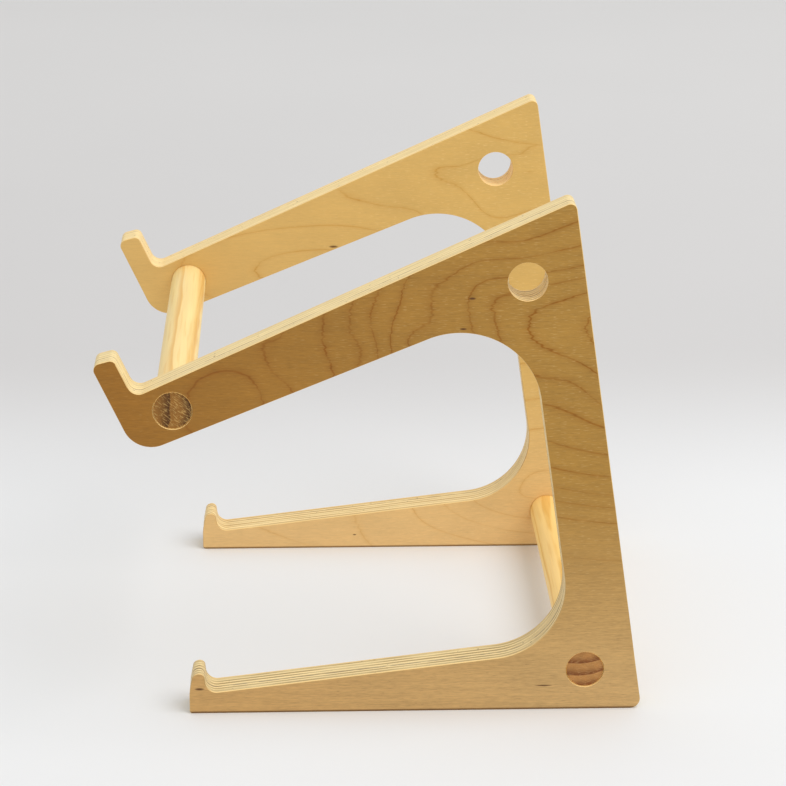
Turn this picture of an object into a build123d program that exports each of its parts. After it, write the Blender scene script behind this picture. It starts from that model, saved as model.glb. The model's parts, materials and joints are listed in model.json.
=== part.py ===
"""Two-tier desk stand: two plywood side panels held apart by two glued dowels.

Millimetres, +Z up. The user of the stand sits at -Y and looks along +Y, the panels stand square
to X, and the origin is on the floor under the middle of the stand's box.
"""

import os
from math import cos, radians, sin

from build123d import *

# Stock
OVERALL_WIDTH = 240.0
PANEL_THICKNESS = 18.0
ARRIS_RADIUS = 0.7
BORE_RADIUS = 10.0
GLUE_GAP = 0.1
DOWEL_END_RECESS = 0.8
DOWEL_END_CHAMFER = 0.3

# Rear column. A lean is the angle from vertical towards the user.
FOOT_LENGTH = 237.0
OVERALL_HEIGHT = 276.0
COLUMN_BASE_DEPTH = 31.2
COLUMN_REAR_LEAN = 8.57
COLUMN_FRONT_LEAN = 8.33
REAR_SOLE_RADIUS = 5.2
TOP_RADIUS = 3.4

# Upper tier. A slope is the angle from horizontal, rising to the rear.
UPPER_SLOPE = 24.6
UPPER_SUPPORT_LENGTH = 242.0
SUPPORT_CORNER_RADIUS = 5.8
HOOK_HEIGHT = 22.2
HOOK_WIDTH = 11.9
HOOK_SIDE_LENGTH = 52.5
HOOK_TIP_SLOPE = 15.4
HOOK_TIP_INNER_RADIUS = 3.3
HOOK_TIP_OUTER_RADIUS = 3.7
ARM_UNDERSIDE_SLOPE = 22.4
ARM_FRONT_RADIUS = 14.8
ARM_REAR_RADIUS = 41.9

# Lower tier. The foot's front stands upright and then leans back into the lip.
LOWER_SLOPE = 6.9
LIP_CORNER_BACK = 9.0
LIP_CORNER_HEIGHT = 11.2
LIP_CORNER_RADIUS = 6.0
LIP_HEIGHT = 12.6
LIP_TIP_SLOPE = 21.0
LIP_TIP_INNER_RADIUS = 2.9
LIP_TIP_OUTER_RADIUS = 3.2
LIP_FRONT_LEAN = 11.0
LIP_FRONT_BASE_HEIGHT = 12.0
LIP_FRONT_BASE_RADIUS = 25.0
FOOT_FRONT_RADIUS = 1.4
FOOT_REAR_RADIUS = 39.8

# Bores: distance along the upper support from its nearer end and depth below it, or,
# for the rear one, distance forward of the foot's rear end and height above the floor
FRONT_BORE_BACK = 14.8
FRONT_BORE_DEPTH = 14.5
TOP_BORE_FORWARD = 38.1
TOP_BORE_DEPTH = 28.1
REAR_BORE_FORWARD = 30.3
REAR_BORE_HEIGHT = 22.6


def step(length, angle):
    """Move in the side view: a length, at an angle in degrees from +Y towards +Z."""
    return Vector(length * cos(radians(angle)), length * sin(radians(angle)))


def crossing(start, angle, other_start, other_angle):
    """Point of the side view where two lines cross, each given by a point and an angle."""
    gap = other_start - start
    other_run = step(1, other_angle)
    reach = (gap.X * other_run.Y - gap.Y * other_run.X) / sin(radians(other_angle - angle))
    return start + step(reach, angle)


# Corners of the panel's outline before they are rounded, from the foot's front round to the lip
foot_front = Vector(0, 0)
foot_rear = Vector(FOOT_LENGTH, 0)
top_rear = foot_rear + step(OVERALL_HEIGHT / cos(radians(COLUMN_REAR_LEAN)), 90 + COLUMN_REAR_LEAN)
support_front = top_rear - step(UPPER_SUPPORT_LENGTH, UPPER_SLOPE)
hook_tip_inner = support_front + step(HOOK_HEIGHT, UPPER_SLOPE + 90)
hook_tip_width = HOOK_WIDTH / cos(radians(UPPER_SLOPE - HOOK_TIP_SLOPE))
hook_tip_outer = hook_tip_inner - step(hook_tip_width, HOOK_TIP_SLOPE)
arm_front = hook_tip_outer - step(HOOK_SIDE_LENGTH, UPPER_SLOPE + 90)
column_base_front = foot_rear - step(COLUMN_BASE_DEPTH, 0)
column_front_angle = 90 + COLUMN_FRONT_LEAN
arm_rear = crossing(arm_front, ARM_UNDERSIDE_SLOPE, column_base_front, column_front_angle)
lip_corner = Vector(LIP_CORNER_BACK, LIP_CORNER_HEIGHT)
foot_top_rear = crossing(lip_corner, LOWER_SLOPE, column_base_front, column_front_angle)
lip_tip_inner = lip_corner + step(LIP_HEIGHT, LOWER_SLOPE + 90)
lip_front_base = foot_front + step(LIP_FRONT_BASE_HEIGHT, 90)
lip_tip_outer = crossing(lip_tip_inner, LIP_TIP_SLOPE, lip_front_base, 90 - LIP_FRONT_LEAN)

rounded_corners = [
    (foot_front, FOOT_FRONT_RADIUS),
    (foot_rear, REAR_SOLE_RADIUS),
    (top_rear, TOP_RADIUS),
    (support_front, SUPPORT_CORNER_RADIUS),
    (hook_tip_inner, HOOK_TIP_INNER_RADIUS),
    (hook_tip_outer, HOOK_TIP_OUTER_RADIUS),
    (arm_front, ARM_FRONT_RADIUS),
    (arm_rear, ARM_REAR_RADIUS),
    (foot_top_rear, FOOT_REAR_RADIUS),
    (lip_corner, LIP_CORNER_RADIUS),
    (lip_tip_inner, LIP_TIP_INNER_RADIUS),
    (lip_tip_outer, LIP_TIP_OUTER_RADIUS),
    (lip_front_base, LIP_FRONT_BASE_RADIUS),
]
corners = [corner for corner, _ in rounded_corners]
corner_radii = [radius for _, radius in rounded_corners]

across_support = step(1, UPPER_SLOPE + 90)
front_bore = support_front + step(FRONT_BORE_BACK, UPPER_SLOPE) - across_support * FRONT_BORE_DEPTH
top_bore = top_rear - step(TOP_BORE_FORWARD, UPPER_SLOPE) - across_support * TOP_BORE_DEPTH
rear_bore = foot_rear + Vector(-REAR_BORE_FORWARD, REAR_BORE_HEIGHT)

# The outline's own box puts the origin under the middle of the stand
with BuildLine() as outline:
    FilletPolyline(*corners, radius=corner_radii, close=True)
middle = outline.line.bounding_box().center().X


def side_view(x):
    """Plane square to X, with its own axes along the stand's Y and Z."""
    return Plane(origin=(x, -middle, 0), x_dir=(0, 1, 0), z_dir=(1, 0, 0))


def make_panel(near_x):
    """One side panel, cut from board, bored three times and eased along its arrises."""
    with BuildPart() as panel:
        with BuildSketch(side_view(near_x)):
            with BuildLine():
                FilletPolyline(*corners, radius=corner_radii, close=True)
            make_face()
            with Locations(front_bore, top_bore, rear_bore):
                Circle(BORE_RADIUS, mode=Mode.SUBTRACT)
        extrude(amount=PANEL_THICKNESS)
        board_faces = panel.faces().filter_by(Axis.X)
        arrises = [edge for face in board_faces for edge in face.outer_wire().edges()]
        fillet(arrises, ARRIS_RADIUS)
    return panel


def make_dowel(bore):
    """One round bar that ends just short of the panels' outer faces."""
    end_x = OVERALL_WIDTH / 2 - DOWEL_END_RECESS
    with BuildPart() as dowel:
        with BuildSketch(side_view(-end_x)):
            with Locations(bore):
                Circle(BORE_RADIUS - GLUE_GAP)
        extrude(amount=2 * end_x)
        chamfer(dowel.edges().filter_by(GeomType.CIRCLE), DOWEL_END_CHAMFER)
    return dowel


pieces = {
    "right_side_panel": make_panel(OVERALL_WIDTH / 2 - PANEL_THICKNESS),
    "left_side_panel": make_panel(-OVERALL_WIDTH / 2),
    "front_dowel": make_dowel(front_bore),
    "rear_dowel": make_dowel(rear_bore),
}

os.makedirs("parts", exist_ok=True)
for name, piece in pieces.items():
    piece.part.label = name
    export_step(piece.part, f"parts/{name}.step")
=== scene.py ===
import cmath
import json
import math
import random

import bpy
import numpy as np
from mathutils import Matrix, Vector
from mathutils.geometry import delaunay_2d_cdt


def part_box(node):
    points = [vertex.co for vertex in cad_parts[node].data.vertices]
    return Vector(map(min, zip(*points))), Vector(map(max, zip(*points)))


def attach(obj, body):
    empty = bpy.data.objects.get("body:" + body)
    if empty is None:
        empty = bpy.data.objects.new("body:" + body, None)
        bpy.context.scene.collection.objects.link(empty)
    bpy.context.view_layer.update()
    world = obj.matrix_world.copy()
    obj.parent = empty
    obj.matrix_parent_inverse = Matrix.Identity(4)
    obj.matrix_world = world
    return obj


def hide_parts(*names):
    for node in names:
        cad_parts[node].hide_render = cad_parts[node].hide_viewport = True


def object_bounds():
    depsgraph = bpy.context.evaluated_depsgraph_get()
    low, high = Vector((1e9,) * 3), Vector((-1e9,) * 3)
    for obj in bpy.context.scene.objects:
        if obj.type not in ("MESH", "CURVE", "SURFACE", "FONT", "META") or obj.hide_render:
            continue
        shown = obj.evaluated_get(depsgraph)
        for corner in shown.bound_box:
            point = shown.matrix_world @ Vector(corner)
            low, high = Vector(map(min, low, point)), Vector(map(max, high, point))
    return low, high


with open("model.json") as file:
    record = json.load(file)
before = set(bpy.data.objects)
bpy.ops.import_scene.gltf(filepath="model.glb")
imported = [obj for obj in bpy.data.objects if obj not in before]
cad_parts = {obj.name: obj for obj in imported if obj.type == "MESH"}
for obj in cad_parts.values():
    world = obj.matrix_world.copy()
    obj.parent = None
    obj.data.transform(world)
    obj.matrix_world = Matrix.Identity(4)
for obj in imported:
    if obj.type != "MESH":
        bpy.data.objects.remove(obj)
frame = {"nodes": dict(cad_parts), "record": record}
cad_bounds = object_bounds()

# ---------------------------------------------------------------- sizes, in metres

MM = 0.001
CAD_ARRIS = 0.7 * MM  # how far from a face the CAD outline reaches its full size
ARRIS = 0.35 * MM  # the sanded rounding between a panel's faces and its edge
BORE_ARRIS = 0.2 * MM
ARRIS_STEPS = 6
PLIES = 13
GLUE_HALF_WIDTH = 0.09 * MM
GLUE_DEPTH = 0.07 * MM
PLY_RELIEF = 0.035 * MM  # how far one sanded ply sinks below another
PLY_WANDER = 0.13 * MM  # how far a glue line strays from its level
GROOVE_SIDE = 0.09  # what a groove's sides add to or take from the ply attribute of its glue line
REAR_EDGE_HIGHLIGHT = 0.9  # an edge that faces the rear at least this much shows the pale plies on its arris, a painted highlight
VENEER_COLUMNS = 2  # how many steps of the arris the veneer covers elsewhere
ARC_STEP = 0.7 * MM
STRAIGHT_STEP = 3.5 * MM
FACE_GRID = 4.5 * MM
BORE_POINTS = 120
BORE_RUN = 3000.0  # where the distance along an edge starts on a bore, in mm

DOWEL_POINTS = 120
DOWEL_STEP = 2.0 * MM
DOWEL_CHAMFER = 0.3 * MM
DOWEL_DIP = 0.012 * MM  # how deep each of the bar's turned waves is
DOWEL_WAVES = 5
SAW_PITCH = 1.1 * MM
SAW_DEPTH = 0.06 * MM
END_RINGS = 24

FLOOR_REACH = 6.0
FLOOR_GAP = 0.05 * MM

CAMERA_LENS = 121.02  # in mm, for a sensor 36 mm wide
CAMERA_PLACE = (1.37091, -0.03731, 0.61795)
CAMERA_TURN = (70.588, -0.2268, 87.9348)  # in degrees

ROOM_COLOUR = (0.99, 0.995, 1.0, 1.0)
ROOM_STRENGTH = 0.76
LAMP_PLACE = (0.85, 1.8, 3.0)
LAMP_SIZE = 3.0
LAMP_POWER = 62.0

record = frame["record"]
MOUNTS = {mount["name"]: mount for mount in record["mounts"]}
BORE_RADIUS = MOUNTS["top_rear_bore"]["dims"]["r_mm"] * MM


# ---------------------------------------------------------------- camera, light and floor


def add_camera():
    """The photograph's viewing angle: from the right side, a little above."""
    data = bpy.data.cameras.new("camera")
    data.sensor_width = 36.0
    data.lens = CAMERA_LENS
    camera = bpy.data.objects.new("camera", data)
    camera.location = CAMERA_PLACE
    camera.rotation_euler = [math.radians(angle) for angle in CAMERA_TURN]
    bpy.context.scene.collection.objects.link(camera)
    bpy.context.scene.camera = camera


def add_area_light(name, place, aim, size, power):
    data = bpy.data.lights.new(name, "AREA")
    data.shape = "DISK"
    data.size = size
    data.energy = power
    light = bpy.data.objects.new(name, data)
    light.location = place
    light.rotation_euler = (Vector(aim) - Vector(place)).to_track_quat("-Z", "Y").to_euler()
    bpy.context.scene.collection.objects.link(light)


def add_lights():
    """A bright even room, with one large soft lamp above and to the right of the camera."""
    world = bpy.data.worlds.new("room")
    world.use_nodes = True
    room = world.node_tree.nodes["Background"]
    room.inputs["Color"].default_value = ROOM_COLOUR
    room.inputs["Strength"].default_value = ROOM_STRENGTH
    bpy.context.scene.world = world
    middle = (cad_bounds[0] + cad_bounds[1]) / 2
    add_area_light("lamp_above", LAMP_PLACE, middle, LAMP_SIZE, LAMP_POWER)


# ---------------------------------------------------------------- node trees


class Wire:
    """A value in a node tree, so that the arithmetic of a material reads as arithmetic."""

    def __init__(self, tree, socket):
        self.tree = tree
        self.socket = socket

    def math(self, operation, *others):
        node = self.tree.nodes.new("ShaderNodeMath")
        node.operation = operation
        for slot, value in zip(node.inputs, (self, *others), strict=False):
            plug(value, slot)
        return Wire(self.tree, node.outputs[0])

    def __add__(self, other):
        return self.math("ADD", other)

    def __sub__(self, other):
        return self.math("SUBTRACT", other)

    def __mul__(self, other):
        return self.math("MULTIPLY", other)

    def __truediv__(self, other):
        return self.math("DIVIDE", other)

    def __neg__(self):
        return self.math("MULTIPLY", -1.0)

    __radd__ = __add__
    __rmul__ = __mul__

    def squared(self):
        return self.math("MULTIPLY", self)

    def rises(self, low, high):
        """0 below low, 1 above high and a smooth step between."""
        node = self.tree.nodes.new("ShaderNodeMapRange")
        node.interpolation_type = "SMOOTHSTEP"
        plug(self, node.inputs["Value"])
        node.inputs["From Min"].default_value = low
        node.inputs["From Max"].default_value = high
        return Wire(self.tree, node.outputs["Result"])

    def falls(self, low, high):
        return -self.rises(low, high) + 1.0


def plug(value, slot):
    """Joins a wire to a socket, or sets the socket's own value."""
    if isinstance(value, Wire):
        value.tree.links.new(value.socket, slot)
    elif isinstance(value, tuple) and len(value) == 3 and slot.type == "RGBA":
        slot.default_value = (*value, 1.0)
    else:
        slot.default_value = value


def vector(x, y, z):
    tree = next(w.tree for w in (x, y, z) if isinstance(w, Wire))
    node = tree.nodes.new("ShaderNodeCombineXYZ")
    for slot, value in zip(node.inputs, (x, y, z), strict=True):
        plug(value, slot)
    return Wire(tree, node.outputs[0])


def noise(x, y, z, detail=2.0, roughness=0.5):
    """Smooth noise from 0 to 1, about one blob to each unit of x, y and z."""
    place = vector(x, y, z)
    node = place.tree.nodes.new("ShaderNodeTexNoise")
    plug(place, node.inputs["Vector"])
    node.inputs["Scale"].default_value = 1.0
    node.inputs["Detail"].default_value = detail
    node.inputs["Roughness"].default_value = roughness
    return Wire(place.tree, node.outputs["Fac"])


def white_noise(value):
    """A random number from 0 to 1 for each value."""
    node = value.tree.nodes.new("ShaderNodeTexWhiteNoise")
    node.noise_dimensions = "1D"
    plug(value, node.inputs["W"])
    return Wire(value.tree, node.outputs["Value"])


def follow(value, points):
    """The straight-line curve through these points, each from 0 to 1."""
    node = value.tree.nodes.new("ShaderNodeFloatCurve")
    curve = node.mapping.curves[0]
    while len(curve.points) < len(points):
        curve.points.new(0.5, 0.5)
    for point, place in zip(curve.points, points, strict=True):
        point.location = place
        point.handle_type = "VECTOR"
    node.mapping.update()
    plug(value, node.inputs["Value"])
    return Wire(value.tree, node.outputs[0])


def blend_colour(share, first, second, how="MIX"):
    """The first colour at share 0 and the second at share 1."""
    node = share.tree.nodes.new("ShaderNodeMix")
    node.data_type = "RGBA"
    node.blend_type = how
    plug(share, node.inputs[0])
    plug(first, node.inputs[6])
    plug(second, node.inputs[7])
    return Wire(share.tree, node.outputs[2])


def brighten(colour, factor):
    """A colour times a plain factor."""
    node = factor.tree.nodes.new("ShaderNodeVectorMath")
    node.operation = "SCALE"
    plug(colour, node.inputs["Vector"])
    plug(factor, node.inputs["Scale"])
    return Wire(factor.tree, node.outputs[0])


def attribute(tree, name):
    node = tree.nodes.new("ShaderNodeAttribute")
    node.attribute_name = name
    return Wire(tree, node.outputs["Fac"])


def place_in_mm(tree):
    """The point's x, y and z in the row frame, in millimetres."""
    coordinates = tree.nodes.new("ShaderNodeTexCoord")
    split = tree.nodes.new("ShaderNodeSeparateXYZ")
    tree.links.new(coordinates.outputs["Object"], split.inputs[0])
    return [Wire(tree, output) / MM for output in split.outputs]


def new_material(name):
    material = bpy.data.materials.new(name)
    material.use_nodes = True
    tree = material.node_tree
    shader = tree.nodes["Principled BSDF"]
    shader.inputs["Specular IOR Level"].default_value = 0.3
    return material, tree, shader


def finish_shader(shader, colour, roughness, height, relief):
    """Plugs in the colour, the roughness and a bump whose full height is relief, in metres."""
    tree = colour.tree
    bump = tree.nodes.new("ShaderNodeBump")
    bump.inputs["Strength"].default_value = 1.0
    bump.inputs["Distance"].default_value = relief
    plug(height, bump.inputs["Height"])
    plug(colour, shader.inputs["Base Color"])
    plug(roughness, shader.inputs["Roughness"])
    tree.links.new(bump.outputs["Normal"], shader.inputs["Normal"])


# ---------------------------------------------------------------- materials

RING_LINE = 0.5  # half the width of a dark ring line, in mm
RING_SHADE = 2.8  # and of the soft brown shade round it
RING_FADE_IN = 115.0  # the height over which ring lines grow to full strength, in mm
VENEER_FRONT = -130.0  # where the change of tone from front to rear starts, in mm
VENEER_RUN = 220.0  # and how long that change is
VENEER_SKIN = (0.84, 0.68, 0.44)  # tints the outermost plies
HOLLOW_TONE = (0.13, 0.08, 0.04)

FLOOR_TONE = (0.81, 0.815, 0.82)
FLOOR_GREY = (0.71, 0.70, 0.69)
FLOOR_FAR_GREY = (0.64, 0.628, 0.622)
FLOOR_FADE = (-480.0, -150.0)  # where the floor turns grey beyond the left panel, x in mm
FLOOR_FAR_FADE = (-1700.0, -400.0)


def ring_figure(y, z, figure, seed):
    """How many growth rings lie between the heart of the figure and a point, and the gap there in mm."""
    wander = noise(y / 38.0, z / 20.0, seed, detail=1.0) - 0.5
    jag = noise(y / 16.0, z / 1.7, seed + 7.0, detail=2.0) - 0.5
    shift = wander * figure["wander"] + jag * figure["jag"]
    reach = None
    for heart_y, heart_z, above, below, start in figure["hearts"]:
        along = shift - y + heart_y
        rise = z - heart_z
        upper = rise.math("MAXIMUM", 0.0) / above
        lower = rise.math("MINIMUM", 0.0) / below
        from_heart = (along.squared() + upper.squared() + lower.squared()).math("SQRT") + start
        reach = reach.math("MINIMUM", from_heart) if reach else from_heart
    for swirl_y, swirl_z, height, radius in figure["swirls"]:
        offset = (y - swirl_y).squared() + (z - swirl_z).squared()
        reach = reach + (offset / (-2.0 * radius * radius)).math("EXPONENT") * height
    rings = (0.0, *figure["rings"])
    far, last = rings[-1], len(rings) - 1
    counted = follow(reach / far, [(ring / far, number / last) for number, ring in enumerate(rings)]) * last
    gaps = [after - before for before, after in zip(rings, (*rings[1:], far + 30.0), strict=True)]
    steps = [(number / last, gap / far) for number, gap in enumerate(gaps)]
    return counted, follow(counted.math("FLOOR") / last, steps) * far


def spot(y, z, centre, half_length, half_height):
    """1 at the middle of a small lens along the grain, falling to 0 at its rim."""
    across = ((y - centre[0]) / half_length).squared() + ((z - centre[1]) / half_height).squared()
    return across.falls(0.0, 1.0)


def veneer_material(name, figure, tones, seed):
    """Rotary-cut birch: jagged ring lines, streaks along the grain, pores with painted glints, small pin
    knots, a lighter tone towards the bottom that is partly painted floor light, and a painted contact shadow
    along the bottom edge.
    """
    material, tree, shader = new_material(name)
    x, y, z = place_in_mm(tree)
    rings, gap = ring_figure(y, z, figure, seed)
    share = rings.math("FRACT")
    to_line = share.math("MINIMUM", -share + 1.0) * gap
    number = rings.math("ROUND")
    strength = white_noise(number + seed) * 0.5 + 0.5
    fade = noise(y / 22.0, z / 12.0, seed + 3.0).rises(0.30, 0.62) * 0.6 + 0.4
    line = (-(to_line / RING_LINE).squared()).math("EXPONENT")
    shade = (-(to_line / RING_SHADE).squared()).math("EXPONENT")
    shown = strength * fade * z.rises(figure["bare_below"], figure["bare_below"] + RING_FADE_IN)
    darkness = (line * 0.65 + shade * 0.35) * shown * figure["contrast"]

    mottle = noise(y / 46.0, z / 24.0, seed + 11.0, detail=3.0) - 0.5
    streak = noise(y / 55.0, z / 2.6, seed + 13.0, detail=2.0) - 0.5
    fibre = noise(y / 6.5, z / 0.7, seed + 17.0, detail=3.0, roughness=0.65) - 0.5
    pore = noise(y / 3.4, z / 0.45, seed + 19.0, detail=0.0)
    # painted highlight: pale dashes where the pores catch the light, painted stronger towards the rear, the
    # lamp's side
    pore_glint = pore.rises(0.65, 0.78) * (y.rises(-90.0, 90.0) * 0.8 + 0.2)
    dark_pore = pore.falls(0.22, 0.33)
    rough = streak * 0.2 + fibre * 0.5 - dark_pore * 0.1
    rough = rough * (z.falls(20.0, 110.0) * 0.4 + 1.0)
    bright = mottle * 0.26 + rough * tones["rough"] + 1.0

    to_rear = (y - VENEER_FRONT) / VENEER_RUN
    high = blend_colour(to_rear, tones["front"], tones["rear"])
    # the tone lightens towards the bottom: partly the veneer's own tone, partly painted light bounced up
    # from the white floor
    low = blend_colour(to_rear, tones["low_front"], tones["low_rear"])
    base = blend_colour(z.rises(-10.0, 140.0), low, high)
    colour = brighten(base, bright)
    colour = blend_colour(pore_glint * 0.4, colour, tones["pore"])
    colour = blend_colour(darkness, colour, tones["line"], how="MULTIPLY")
    for centre, half_length, half_height in figure["knots"]:
        dark = spot(y, z, centre, half_length, half_height)
        colour = blend_colour(dark * 0.9, colour, tones["knot_and_shadow"])
    # painted shadow: the lowest millimetre or so of each face, where the panel meets the floor, is darkened
    # to near-black brown as a contact shadow
    colour = blend_colour(z.falls(0.5, 1.5) * 0.85, colour, tones["knot_and_shadow"])
    roughness = fibre * 0.12 + darkness * 0.05 + 0.50
    height = fibre * 0.5 + pore_glint * 0.5 - dark_pore * 0.5 - line * 0.3
    finish_shader(shader, colour, roughness, height, 0.045 * MM)
    return material


def ply_edge_material(name, tones, bold_line, seed):
    """The sanded edge of the board: thin plies, long grain and end grain in turn, and glue lines."""
    material, tree, shader = new_material(name)
    x, y, z = place_in_mm(tree)
    level = attribute(tree, "ply")
    run = attribute(tree, "run")
    end_grain = attribute(tree, "end_grain")
    number = level.math("FLOOR")
    nearest = level.math("ROUND")
    tone = white_noise(number + seed) - 0.5
    patch = noise(run / 35.0, number * 7.7, seed + 2.0, detail=1.0).rises(0.30, 0.60) * 0.6 + 0.4
    long_streak = noise(run / 14.0, level * 4.0, seed, detail=3.0) - 0.5
    end_speck = noise(run / 0.8, level * 3.0, seed + 5.0, detail=2.0) - 0.5
    stain = noise(run / 30.0, level * 0.35, seed + 9.0) - 0.5
    bright = tone * 0.16 + long_streak * 0.25 + end_speck * end_grain * 0.4 + stain * 0.2 + 1.03
    in_bore = run.rises(BORE_RUN - 1.0, BORE_RUN)
    dulled = (z.falls(60.0, 190.0) * 0.55 + 0.45).math("MAXIMUM", in_bore)
    base = blend_colour(end_grain * dulled * patch, tones["long"], tones["end"])
    # painted light: the bore walls are painted a fifth lighter, standing in for light reaching into the
    # holes
    colour = brighten(base, bright + in_bore * 0.2)
    skin = level.math("MINIMUM", -level + PLIES).falls(0.0, 1.5)
    colour = blend_colour(skin * 0.6, colour, VENEER_SKIN, how="MULTIPLY")
    inside = level.rises(0.4, 0.6) * level.falls(PLIES - 0.6, PLIES - 0.4)
    broken = noise(run / 7.0, nearest * 5.3, seed + 21.0, detail=2.0).rises(0.34, 0.60)
    bold = (nearest - bold_line).math("ABSOLUTE").falls(0.4, 0.6)
    boldness = (white_noise(nearest + seed + 40.0) * 0.6 + 0.2) * dulled + bold * 0.5
    to_glue = (level - nearest).math("ABSOLUTE")
    glue = (to_glue / (bold * 1.2 + 1.0)).falls(0.05, 0.24) * inside * (broken * 0.7 + 0.3) * boldness
    colour = blend_colour(glue.math("MINIMUM", 0.95), colour, tones["glue"])
    hollow = noise(run / 2.2, level * 1.3, seed + 31.0, detail=0.0).rises(0.80, 0.83) * inside
    colour = blend_colour(hollow * 0.85, colour, HOLLOW_TONE)
    height = long_streak * 0.4 + end_speck * end_grain * 0.6 - hollow
    finish_shader(shader, colour, end_grain * 0.15 + 0.5, height, 0.06 * MM)
    return material


def pine_rings(x, y, z, centre, bar, seed):
    """Growth rings round a pith line beside the dowel, in ring widths."""
    drift = noise(x / 60.0, y / 14.0, z / 14.0 + seed, detail=2.0) - 0.5
    pith_y, pith_z = centre[0] + bar["pith"][0], centre[1] + bar["pith"][1]
    reach = ((y - pith_y).squared() + (z - pith_z).squared()).math("SQRT")
    return (reach + drift * bar["drift"]) / bar["ring"] + bar["phase"]


def pine_side_material(name, centre, bar, seed):
    """A turned softwood bar: pale earlywood, soft orange latewood stripes and fine veins."""
    material, tree, shader = new_material(name)
    x, y, z = place_in_mm(tree)
    share = pine_rings(x, y, z, centre, bar, seed).math("FRACT")
    late = share.rises(0.62, 0.93) * share.falls(0.93, 1.0)
    fibre = noise(x / 30.0, y / 0.9, z / 0.9 + seed, detail=3.0) - 0.5
    mottle = noise(x / 50.0, y / 6.0, z / 6.0 + seed, detail=2.0) - 0.5
    warm = noise(x / 90.0, y / 7.0, z / 7.0 + seed + 30.0, detail=1.0).rises(0.45, 0.75)
    vein = noise(x / 40.0, y / 1.7, z / 1.7 + seed + 50.0, detail=1.0).rises(0.56, 0.72)
    share_late = (late * 0.75 + warm * 0.2 + vein * 0.3).math("MINIMUM", 1.0)
    colour = blend_colour(share_late, bar["early"], bar["late"])
    colour = brighten(colour, fibre * 0.20 + mottle * 0.12 + 1.02)
    finish_shader(shader, colour, fibre * 0.15 + 0.45, fibre + late * 0.4, 0.05 * MM)
    return material


def pine_end_material(name, centre, bar, seed):
    """A sawn dowel end: rings as bands, fine specks and paler torn fibres along the saw marks."""
    material, tree, shader = new_material(name)
    x, y, z = place_in_mm(tree)
    share = pine_rings(x, y, z, centre, bar, seed).math("FRACT")
    late = share.rises(0.30, 0.95) * share.falls(0.95, 1.0)
    turn = math.radians(bar["saw"])
    along = y * math.cos(turn) + z * math.sin(turn)
    across = z * math.cos(turn) - y * math.sin(turn)
    torn = noise(along / 2.4, across / 0.65, seed, detail=2.0) + (y - centre[0]) * 0.004
    speck = noise(y / 0.5, z / 0.5, seed + 4.0, detail=2.0) - 0.5
    mottle = noise(y / 5.0, z / 5.0, seed + 8.0, detail=1.0) - 0.5
    colour = blend_colour(late * 0.9, bar["end_early"], bar["end_late"])
    colour = blend_colour(torn.rises(0.50, 0.64) * bar["torn_share"], colour, bar["torn"])
    colour = brighten(colour, speck * 0.6 + mottle * 0.5 + 1.0)
    finish_shader(shader, colour, speck * 0.2 + 0.7, torn + speck * 0.5, 0.12 * MM)
    return material


def floor_material():
    """Smooth white paper that turns light grey beyond the left panel."""
    material, tree, shader = new_material("floor_white")
    x, y, z = place_in_mm(tree)
    cloud = noise(x / 260.0, y / 260.0, 1.0) - 0.5
    near = x.rises(*FLOOR_FADE)
    far = blend_colour(x.falls(*FLOOR_FAR_FADE), FLOOR_FAR_GREY, FLOOR_GREY)
    colour = blend_colour(near, far, FLOOR_TONE)
    colour = brighten(colour, cloud * 0.03 + 1.0)
    finish_shader(shader, colour, cloud * 0.1 + 0.75, cloud, 0.1 * MM)
    return material


def add_floor():
    """One wide pale plane under the stand."""
    reach = FLOOR_REACH
    corners = [(-reach, -reach, 0.0), (reach, -reach, 0.0), (reach, reach, 0.0), (-reach, reach, 0.0)]
    mesh = bpy.data.meshes.new("floor")
    mesh.from_pydata(corners, [], [(0, 1, 2, 3)])
    mesh.materials.append(floor_material())
    floor = bpy.data.objects.new("floor", mesh)
    floor.location.z = cad_bounds[0].z - FLOOR_GAP
    bpy.context.scene.collection.objects.link(floor)


# ---------------------------------------------------------------- panel shape


def outline_of(node, level):
    """The panel's outline as numbers y + iz in order, read where its edge meets the arris at x = level."""
    mesh = frame["nodes"][node].data
    there = {
        vertex.index: complex(vertex.co.y, vertex.co.z)
        for vertex in mesh.vertices
        if abs(vertex.co.x - level) < 0.01 * MM
    }
    beside = {}
    for edge in mesh.edges:
        first, second = (there.get(index) for index in edge.vertices)
        if first is not None and second is not None and first != second:
            beside.setdefault(first, set()).add(second)
            beside.setdefault(second, set()).add(first)
    start = min(beside, key=lambda point: (point.imag, point.real))
    loop = [start, max(beside[start], key=lambda point: point.real)]
    while loop[-1] != start:
        loop.append(next(point for point in beside[loop[-1]] if point != loop[-2]))
    return np.array(loop[:-1])


def smooth_path(corners):
    """Points and unit tangents round a closed loop, each chord bent back to the arc that it spans."""
    chords = np.roll(corners, -1) - corners
    longest = int(np.argmax(np.abs(chords)))
    corners = np.roll(corners, -longest)
    chords = np.roll(chords, -longest)
    turns = np.angle(chords / np.roll(chords, 1))
    bend = 0.0
    points, tangents = [], []
    for number, (corner, chord) in enumerate(zip(corners, chords, strict=True)):
        if number:
            bend = 2.0 * turns[number] - bend
        if abs(bend) < math.radians(0.3):
            bend = 0.0
        pieces = math.ceil(abs(chord) / (ARC_STEP if bend else STRAIGHT_STEP))
        for piece in range(pieces):
            turned = bend * piece / pieces
            share = (cmath.exp(1j * turned) - 1) / (cmath.exp(1j * bend) - 1) if bend else piece / pieces
            points.append(corner + chord * share)
            tangents.append(chord / abs(chord) * cmath.exp(1j * (turned - bend / 2)))
    return np.array(points), np.array(tangents)


def bore_path(centre):
    """Points and unit tangents round a bore, clockwise, so that the wood is on the left."""
    spokes = np.exp(-2j * np.pi * np.arange(BORE_POINTS) / BORE_POINTS)
    return centre + BORE_RADIUS * spokes, -1j * spokes


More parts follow.
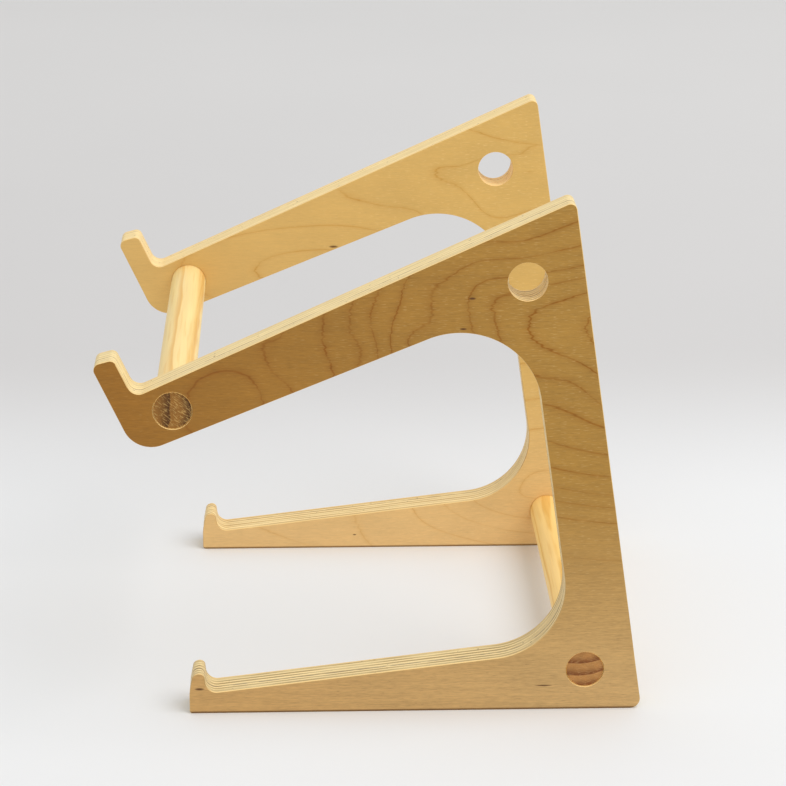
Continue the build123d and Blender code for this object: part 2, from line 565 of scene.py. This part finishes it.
def edge_profile(thickness, arris, chance):
    """Samples across the edge from the outer face: (depth, inset, glue line number or 0)."""
    ply = thickness / PLIES
    samples = []
    for step in range(ARRIS_STEPS + 1):
        angle = math.pi / 2 * step / ARRIS_STEPS
        samples.append((arris * (1 - math.cos(angle)), arris * (1 - math.sin(angle)), 0))
    relief = [chance.uniform(0.0, PLY_RELIEF) for _ in range(PLIES)]
    relief[0] = relief[-1] = 0.0
    for line in range(1, PLIES):
        depth = line * ply
        before, after = relief[line - 1], relief[line]
        samples.append((depth - GLUE_HALF_WIDTH, before, line))
        samples.append((depth, max(before, after) + GLUE_DEPTH, line))
        samples.append((depth + GLUE_HALF_WIDTH, after, line))
    for step in range(ARRIS_STEPS, -1, -1):
        angle = math.pi / 2 * step / ARRIS_STEPS
        samples.append((thickness - arris * (1 - math.cos(angle)), arris * (1 - math.sin(angle)), 0))
    return samples


class Board:
    """A panel's mesh as it grows: vertices with their normals and edge coordinates, and faces."""

    def __init__(self, outer_x, inner_x, seed):
        self.outer_x = outer_x
        self.inward = 1.0 if inner_x > outer_x else -1.0
        self.thickness = abs(inner_x - outer_x)
        self.chance = random.Random(seed)
        self.waves = [[self.chance.uniform(-1, 1) for _ in range(4)] for _ in range(PLIES)]
        self.places, self.normals, self.plies, self.end_grains, self.runs = [], [], [], [], []
        self.faces, self.face_materials = [], []
        self.rims = {"outer": [], "inner": []}
        self.bores = bore_centres()

    def add_vertices(self, places, normals, plies, end_grains, runs):
        first = len(self.places)
        self.places.extend(map(tuple, places))
        self.normals.extend(map(tuple, normals))
        self.plies.extend(plies)
        self.end_grains.extend(end_grains)
        self.runs.extend(runs)
        return first

    def add_face(self, corners, material, facing_out=True):
        """A face given anticlockwise as seen from +x or from outside a right-hand panel."""
        self.faces.append(corners if facing_out else corners[::-1])
        self.face_materials.append(material)

    def wander(self, line, point):
        """How far a glue line strays at a point, the same for every edge that it shows on."""
        a, b, c, d = self.waves[line]
        swing = math.sin(point.real * (55 + 30 * a) + 6 * b) + math.sin(point.imag * (60 + 30 * c) + 6 * d)
        return PLY_WANDER * 0.5 * swing

    def sweep_edge(self, points, tangents, arris, first_run=0.0):
        """The board's edge round one loop, with its arrises, plies and glue lines."""
        samples = edge_profile(self.thickness, arris, self.chance)
        outward = -1j * tangents
        runs = np.concatenate(([0.0], np.cumsum(np.abs(np.diff(points))))) / MM + first_run
        ply = self.thickness / PLIES
        columns = len(samples)
        first = len(self.places)
        for point, out, run in zip(points, outward, runs, strict=True):
            depths = np.array([
                depth + (self.wander(line, point) if line else 0.0) for depth, inset, line in samples
            ])
            insets = np.array([inset for depth, inset, line in samples])
            slope = np.gradient(depths) + 1j * np.gradient(-insets)
            slope[0], slope[-1] = 1j, -1j
            lean = slope / np.abs(slope)
            outs, deeps = lean.real, -lean.imag
            rings = point - insets * out
            places = np.stack([
                self.outer_x + self.inward * depths, rings.real, rings.imag], axis=1)
            normals = np.stack([self.inward * deeps, outs * out.real, outs * out.imag], axis=1)
            levels = [
                line + GROOVE_SIDE * (step - 1) if line else depth / ply
                for depth, (_, _, line), step in zip(
                    depths, samples, self.groove_steps(samples), strict=True)
            ]
            ends = [out.real**2 if int(level) % 2 == 0 else out.imag**2 for level in levels]
            self.add_vertices(places, normals, levels, ends, [run] * columns)
        self.add_edge_faces(first, outward, columns)
        rows = range(len(points))
        self.rims["outer"].append([first + row * columns for row in rows])
        self.rims["inner"].append([first + row * columns + columns - 1 for row in rows])

    @staticmethod
    def groove_steps(samples):
        """0, 1 or 2 for the near side, bottom and far side of each groove."""
        steps = []
        for place, (_, _, line) in enumerate(samples):
            steps.append((place - ARRIS_STEPS - 1) % 3 if line else 0)
        return steps

    def add_edge_faces(self, first, outward, columns):
        """Faces between the samples: the veneer goes round the arris, but where the edge faces the rear the
        arris shows the pale plies, a painted highlight.
        """
        rows = len(outward)
        for row in range(rows):
            # painted highlight: rear-facing arrises get the pale ply material instead of the brown veneer
            veneer_columns = 0 if outward[row].real > REAR_EDGE_HIGHLIGHT else VENEER_COLUMNS
            here, there = first + row * columns, first + (row + 1) % rows * columns
            for column in range(columns - 1):
                material = 1
                if column < veneer_columns:
                    material = 0
                if column >= columns - 1 - veneer_columns:
                    material = 2
                corners = (here + column, here + column + 1, there + column + 1, there + column)
                self.add_face(corners, material, facing_out=self.inward < 0)

    def fill_face(self, side):
        """The flat veneer between the outline and the bores, as triangles on an even grid."""
        rims = self.rims[side]
        outer = side == "outer"
        borders = [index for rim in rims for index in rim]
        flat = np.array([self.places[index][1:] for index in borders])
        low, high = flat.min(0), flat.max(0)
        grid = np.stack(np.meshgrid(
            np.arange(low[0], high[0], FACE_GRID), np.arange(low[1], high[1], FACE_GRID)), -1).reshape(-1, 2)
        gaps = np.array([np.min(np.hypot(*(flat - point).T)) for point in grid])
        grid = grid[gaps > FACE_GRID * 0.55]
        edges, start = [], 0
        for rim in rims:
            size = len(rim)
            edges.extend((start + step, start + (step + 1) % size) for step in range(size))
            start += size
        every = np.concatenate([flat, grid])
        cut = delaunay_2d_cdt([Vector(point / MM) for point in every], edges, [], 1, 1e-5)
        triangles, sources = cut[2], cut[3]
        x = self.places[borders[0]][0]
        facing = -self.inward if outer else self.inward
        index_of = dict(enumerate(borders))
        for triangle in triangles:
            middle = complex(*sum(every[sources[corner][0]] for corner in triangle) / 3)
            if any(abs(middle - centre) < BORE_RADIUS for centre in self.bores):
                continue
            for corner in triangle:
                source = sources[corner][0]
                if source not in index_of:
                    place = (x, *every[source])
                    index_of[source] = self.add_vertices([place], [(facing, 0, 0)], [0.0], [0.0], [0.0])
            corners = tuple(index_of[sources[corner][0]] for corner in triangle)
            self.add_face(corners, 0 if outer else 2, facing_out=facing > 0)

    def build(self, name, materials):
        mesh = bpy.data.meshes.new(name)
        mesh.from_pydata(self.places, [], self.faces)
        for material in materials:
            mesh.materials.append(material)
        mesh.polygons.foreach_set("material_index", self.face_materials)
        mesh.shade_smooth()
        for label, values in (("ply", self.plies), ("end_grain", self.end_grains), ("run", self.runs)):
            mesh.attributes.new(label, "FLOAT", "POINT").data.foreach_set("value", values)
        mesh.normals_split_custom_set_from_vertices(self.normals)
        mesh.update()
        piece = bpy.data.objects.new(name, mesh)
        bpy.context.scene.collection.objects.link(piece)
        return piece


def bore_centres():
    """Where the dowels and the open bore cross the panels, as numbers y + iz."""
    centres = []
    for dowel in ("front_dowel", "rear_dowel"):
        low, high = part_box(dowel)
        centres.append(complex((low.y + high.y) / 2, (low.z + high.z) / 2))
    open_bore = MOUNTS["top_rear_bore"]["pos_m"]
    return [*centres, complex(open_bore[1], open_bore[2])]


def add_panel(name, node, outer_is_high, materials, seed):
    low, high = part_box(node)
    outer_x, inner_x = (high.x, low.x) if outer_is_high else (low.x, high.x)
    board = Board(outer_x, inner_x, seed)
    level = outer_x + board.inward * CAD_ARRIS
    board.sweep_edge(*smooth_path(outline_of(node, level)), ARRIS)
    for centre in board.bores:
        board.sweep_edge(*bore_path(centre), BORE_ARRIS, first_run=BORE_RUN)
    board.fill_face("outer")
    board.fill_face("inner")
    piece = board.build(name, materials)
    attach(piece, "root")
    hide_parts(node)


# ---------------------------------------------------------------- dowel shape


def add_dowel(name, node, materials, saw_angle, seed):
    """A round bar with a fine chamfer and a sawn face at each end."""
    low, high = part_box(node)
    radius = (high.y - low.y) / 2
    centre = complex((low.y + high.y) / 2, (low.z + high.z) / 2)
    chance = random.Random(seed)
    waves = [(chance.randint(3, 19), chance.uniform(0, 2 * math.pi)) for _ in range(DOWEL_WAVES)]
    saw = cmath.exp(1j * math.radians(saw_angle))
    angles = 2 * np.pi * np.arange(DOWEL_POINTS) / DOWEL_POINTS
    spokes = np.exp(1j * angles)
    dips = sum(DOWEL_DIP * (1 + np.sin(count * angles + turn)) for count, turn in waves) / 2

    def end_rings(x, outward):
        """From the middle of an end face to its chamfer: the x and the radius of each ring's points."""
        rings = []
        for step in range(1, END_RINGS + 1):
            ring = (radius - DOWEL_CHAMFER) * step / END_RINGS
            across = (ring * spokes * saw.conjugate()).imag / SAW_PITCH
            mark = np.sin(2 * np.pi * across + 3 * np.sin(across))
            depth = SAW_DEPTH * (0.5 + 0.5 * mark)
            rings.append((x - outward * depth, np.full(DOWEL_POINTS, ring)))
        return rings

    length = high.x - low.x - 2 * DOWEL_CHAMFER
    pieces = math.ceil(length / DOWEL_STEP)
    sides = [
        (np.full(DOWEL_POINTS, low.x + DOWEL_CHAMFER + length * step / pieces), radius - dips)
        for step in range(pieces + 1)
    ]
    rings = [*end_rings(low.x, -1.0), *sides, *reversed(end_rings(high.x, 1.0))]
    places = []
    for xs, radii in rings:
        rim = centre + radii * spokes
        places.extend(zip(xs, rim.real, rim.imag, strict=True))
    faces, face_materials = [], []
    for row in range(len(rings) - 1):
        on_end = row < END_RINGS - 1 or row >= len(rings) - END_RINGS
        for column in range(DOWEL_POINTS):
            here = row * DOWEL_POINTS + column
            beside = row * DOWEL_POINTS + (column + 1) % DOWEL_POINTS
            faces.append((here, beside, beside + DOWEL_POINTS, here + DOWEL_POINTS))
            face_materials.append(1 if on_end else 0)
    for x, row, turn in ((low.x, 0, -1), (high.x, len(rings) - 1, 1)):
        middle = len(places)
        places.append((x - turn * SAW_DEPTH / 2, centre.real, centre.imag))
        for column in range(DOWEL_POINTS):
            here = row * DOWEL_POINTS + column
            beside = row * DOWEL_POINTS + (column + 1) % DOWEL_POINTS
            faces.append((middle, here, beside) if turn > 0 else (middle, beside, here))
            face_materials.append(1)
    mesh = bpy.data.meshes.new(name)
    mesh.from_pydata(places, [], faces)
    for material in materials:
        mesh.materials.append(material)
    mesh.polygons.foreach_set("material_index", face_materials)
    mesh.shade_smooth()
    mesh.set_sharp_from_angle(angle=math.radians(30))
    piece = bpy.data.objects.new(name, mesh)
    bpy.context.scene.collection.objects.link(piece)
    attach(piece, "root")
    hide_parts(node)


# ---------------------------------------------------------------- the stand

# the outer faces' dark brown is partly a browner veneer and partly painted shade, the outer faces kept
# darker than the inner faces under the same light
BROWN_VENEER = {
    "front": (0.333, 0.142, 0.015),
    "rear": (0.432, 0.230, 0.0415),
    "low_front": (0.62, 0.36, 0.125),
    "low_rear": (0.60, 0.374, 0.146),
    "line": (0.68, 0.46, 0.06),
    "pore": (0.66, 0.43, 0.16),
    "knot_and_shadow": (0.085, 0.026, 0.006),
    "rough": 1.0,
}
PALE_VENEER = {
    "front": (0.728, 0.46, 0.147),
    "rear": (0.738, 0.465, 0.136),
    "low_front": (0.805, 0.52, 0.217),
    "low_rear": (0.837, 0.553, 0.236),
    "line": (0.74, 0.52, 0.14),
    "pore": (0.93, 0.66, 0.30),
    "knot_and_shadow": (0.13, 0.05, 0.012),
    "rough": 0.4,
}
RIGHT_OUTER_FIGURE = {
    "hearts": ((140.0, 212.0, 0.50, 0.65, 0.0), (-73.0, 168.0, 0.95, 0.93, 174.5)),
    "rings": (38.0, 59.0, 76.0, 89.0, 109.0, 127.0, 142.0, 152.5, 165.5, 197.0, 252.0),
    "swirls": (
        (102.0, 182.0, 14.0, 14.0),
        (104.0, 238.0, 12.0, 15.0),
        (54.0, 232.0, -11.0, 11.0),
        (-42.0, 172.0, 10.0, 12.0),
        (74.0, 259.0, 16.0, 15.0),
        (24.0, 234.0, -9.0, 9.0),
        (16.0, 204.0, -8.0, 9.0),
        (86.0, 40.0, -12.0, 10.0),
        (-48.0, 211.0, 14.0, 5.0),
        (22.0, 202.0, -9.0, 7.0),
        (80.0, 214.0, -5.0, 11.0),
        (-2.0, 200.0, 5.0, 7.0),
        (104.0, 258.0, 9.0, 13.0),
    ),
    "bare_below": 42.0,
    "contrast": 1.1,
    "wander": 3.0,
    "jag": 4.5,
    "knots": (
        ((48.8, 226.2), 2.3, 0.8),
        ((44.5, 210.3), 2.2, 0.7),
        ((-90.8, 13.9), 3.0, 0.9),
        ((89.0, 13.7), 5.5, 0.5),
    ),
}
RIGHT_INNER_FIGURE = {
    **RIGHT_OUTER_FIGURE,
    "hearts": ((-150.0, 150.0, 0.55, 0.45, 0.0),),
    "contrast": 0.45,
    "knots": (((20.0, 12.0), 2.0, 0.7),),
    "swirls": ((30.0, 230.0, -22.0, 20.0),),
}
LEFT_INNER_FIGURE = {
    **RIGHT_OUTER_FIGURE,
    "hearts": (
        (95.0, 233.0, 0.18, 0.38, 0.0),
        (120.0, 276.0, 0.40, 0.36, -22.0),
        (127.0, 236.0, 0.45, 0.50, 16.0),
        (-25.0, 175.0, 0.32, 0.32, 19.0),
        (110.0, 35.0, 0.80, 0.25, 70.0),
    ),
    "rings": (56.0, 100.0, 150.0, 205.0, 262.0, 330.0),
    "bare_below": -60.0,
    "contrast": 0.75,
    "knots": (((-17.0, 188.8), 3.2, 0.9), ((-5.0, 8.3), 1.3, 0.6)),
    "swirls": (
        (58.0, 240.0, 12.0, 8.0),
        (57.0, 219.0, 10.0, 9.0),
        (78.0, 205.0, -18.0, 12.0),
        (-15.0, 226.0, -12.0, 14.0),
        (30.0, 209.0, 11.0, 12.0),
        (110.0, 35.0, -90.0, 50.0),
        (10.0, 35.0, 40.0, 20.0),
        (10.0, -10.0, -45.0, 20.0),
    ),
}
LEFT_OUTER_FIGURE = {
    **RIGHT_OUTER_FIGURE,
    "hearts": ((30.0, 150.0, 0.8, 0.55, 0.0),),
    "knots": (((-60.0, 190.0), 2.4, 0.8), ((104.0, 60.0), 2.0, 0.7)),
    "swirls": ((70.0, 230.0, 22.0, 18.0),),
}
RIGHT_PLY = {"long": (0.925, 0.735, 0.375), "end": (0.48, 0.33, 0.14), "glue": (0.27, 0.19, 0.12)}
LEFT_PLY = {"long": (0.97, 0.755, 0.37), "end": (0.60, 0.385, 0.15), "glue": (0.48, 0.33, 0.17)}

PINE_FRONT = {
    "pith": (-38.0, 3.0),
    "ring": 10.5,
    "phase": 0.445,
    "drift": 4.0,
    "saw": -40.0,
    "early": (0.95, 0.72, 0.31),
    "late": (0.80, 0.46, 0.12),
    "end_early": (0.30, 0.130, 0.022),
    "end_late": (0.075, 0.026, 0.004),
    "torn": (0.66, 0.42, 0.14),
    "torn_share": 0.5,
}
PINE_REAR = {
    "pith": (-6.0, 45.0),
    "ring": 6.5,
    "phase": 0.50,
    "drift": 3.0,
    "saw": 8.0,
    "early": (0.98, 0.68, 0.25),
    "late": (0.82, 0.47, 0.11),
    "end_early": (0.47, 0.22, 0.063),
    "end_late": (0.18, 0.05, 0.010),
    "torn": (0.56, 0.32, 0.12),
    "torn_share": 0.35,
}

add_camera()
add_lights()
add_floor()

add_panel(
    "right_side_panel_board",
    "right_side_panel",
    True,
    [
        veneer_material("birch_brown_right", RIGHT_OUTER_FIGURE, BROWN_VENEER, 4.0),
        ply_edge_material("birch_ply_edge_right", RIGHT_PLY, 5.0, 2.0),
        veneer_material("birch_pale_right", RIGHT_INNER_FIGURE, PALE_VENEER, 31.0),
    ],
    seed=5,
)
add_panel(
    "left_side_panel_board",
    "left_side_panel",
    False,
    [
        veneer_material("birch_brown_left", LEFT_OUTER_FIGURE, BROWN_VENEER, 57.0),
        ply_edge_material("birch_ply_edge_left", LEFT_PLY, 3.0, 83.0),
        veneer_material("birch_pale_left", LEFT_INNER_FIGURE, PALE_VENEER, 71.0),
    ],
    seed=8,
)
for label, bar, seed in (("front", PINE_FRONT, 11), ("rear", PINE_REAR, 12)):
    node = f"{label}_dowel"
    low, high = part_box(node)
    centre = ((low.y + high.y) / 2 / MM, (low.z + high.z) / 2 / MM)
    materials = [
        pine_side_material(f"pine_{label}_side", centre, bar, float(seed)),
        pine_end_material(f"pine_{label}_end", centre, bar, float(seed)),
    ]
    add_dowel(f"{node}_bar", node, materials, bar["saw"], seed)

bpy.context.scene.view_settings.view_transform = "Standard"
bpy.context.view_layer.update()
